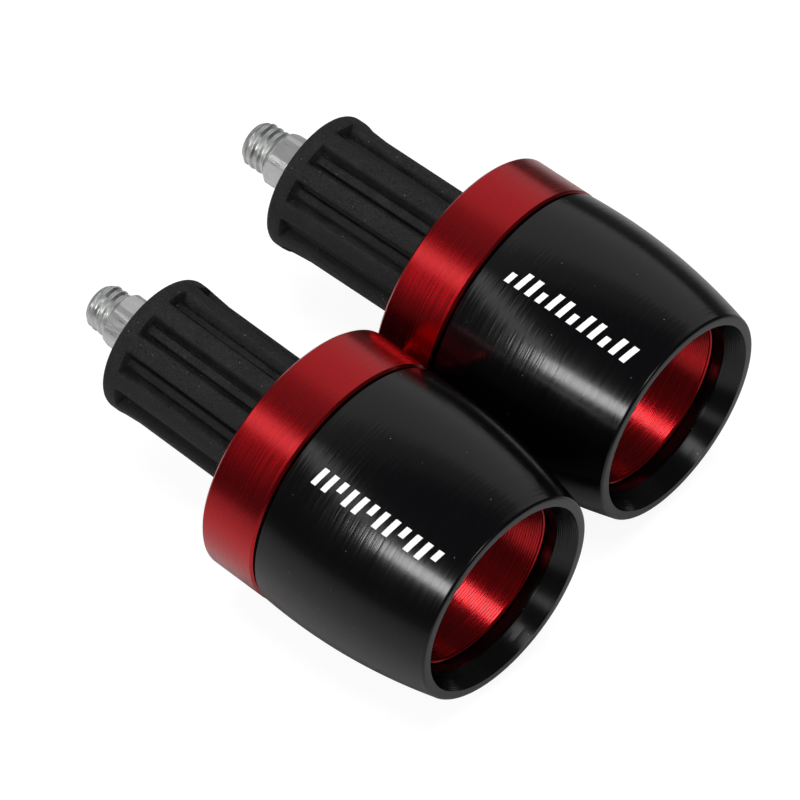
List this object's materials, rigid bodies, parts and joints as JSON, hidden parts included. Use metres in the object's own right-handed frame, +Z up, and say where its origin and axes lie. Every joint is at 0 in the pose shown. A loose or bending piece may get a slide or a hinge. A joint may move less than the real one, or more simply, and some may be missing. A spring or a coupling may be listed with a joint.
{
  "type": "handlebar end plug pair",
  "caption": "Pair of handlebar end plugs: a ribbed rubber expander drawn tight by a central bolt, behind a flanged metal cup with a barrel-shaped outer sleeve.",
  "frame": {"origin": "on the surface that the pair lies on, under the middle of the pair's box", "axes": "+X along the left unit's axis from its threaded end to its open cup, +Y from the left unit to the right unit, +Z up"},
  "size_m": [0.0692, 0.0668, 0.033],
  "materials": {
    "anodised_red": "satin turned, red anodised",
    "anodised_black": "satin turned, black anodised",
    "black_rubber": "matte, fine moulded grain",
    "zinc_plated_steel": "bright zinc plate",
    "plain_steel": "machined, slightly dull",
    "white_print": "thin printed ink"
  },
  "bodies": {
    "left_housing": {"left_core_cup": "anodised_red", "left_outer_sleeve": "anodised_black", "left_rubber_expander": "black_rubber", "left_head_washer": "plain_steel"},
    "left_bolt": {"left_clamp_bolt": "zinc_plated_steel", "left_lock_washer": "plain_steel"},
    "left_nut": {"left_hex_nut": "plain_steel", "left_thrust_washer": "plain_steel"},
    "right_housing": {"right_core_cup": "anodised_red", "right_outer_sleeve": "anodised_black", "right_rubber_expander": "black_rubber", "right_head_washer": "plain_steel"},
    "right_bolt": {"right_clamp_bolt": "zinc_plated_steel", "right_lock_washer": "plain_steel"},
    "right_nut": {"right_hex_nut": "plain_steel", "right_thrust_washer": "plain_steel"}
  },
  "joints": [
    {"name": "pair_spread", "type": "slide", "parent": "left_housing", "child": "right_housing", "axis": [0, 1, 0], "range_m": [0, 0.06]},
    {"name": "left_bolt_turn", "type": "hinge", "parent": "left_housing", "child": "left_bolt", "pos_m": [0.00177, -0.0169, 0.0165], "axis": [-1, 0, 0], "range_deg": [0, 1080]},
    {"name": "left_nut_draw", "type": "slide", "parent": "left_housing", "child": "left_nut", "axis": [1, 0, 0], "range_m": [0, 0.00301], "deforming": ["left_rubber_expander"]},
    {"name": "right_bolt_turn", "type": "hinge", "parent": "right_housing", "child": "right_bolt", "pos_m": [-0.00233, 0.01625, 0.0165], "axis": [-0.999, -0.0454, 0], "range_deg": [0, 1080]},
    {"name": "right_nut_draw", "type": "slide", "parent": "right_housing", "child": "right_nut", "axis": [0.999, 0.0454, 0], "range_m": [0, 0.00301], "deforming": ["right_rubber_expander"]}
  ],
  "couplings": [
    {"joint": "left_nut_draw", "follows": "left_bolt_turn", "m_per_rad": 0.00015915},
    {"joint": "right_nut_draw", "follows": "right_bolt_turn", "m_per_rad": 0.00015915}
  ]
}
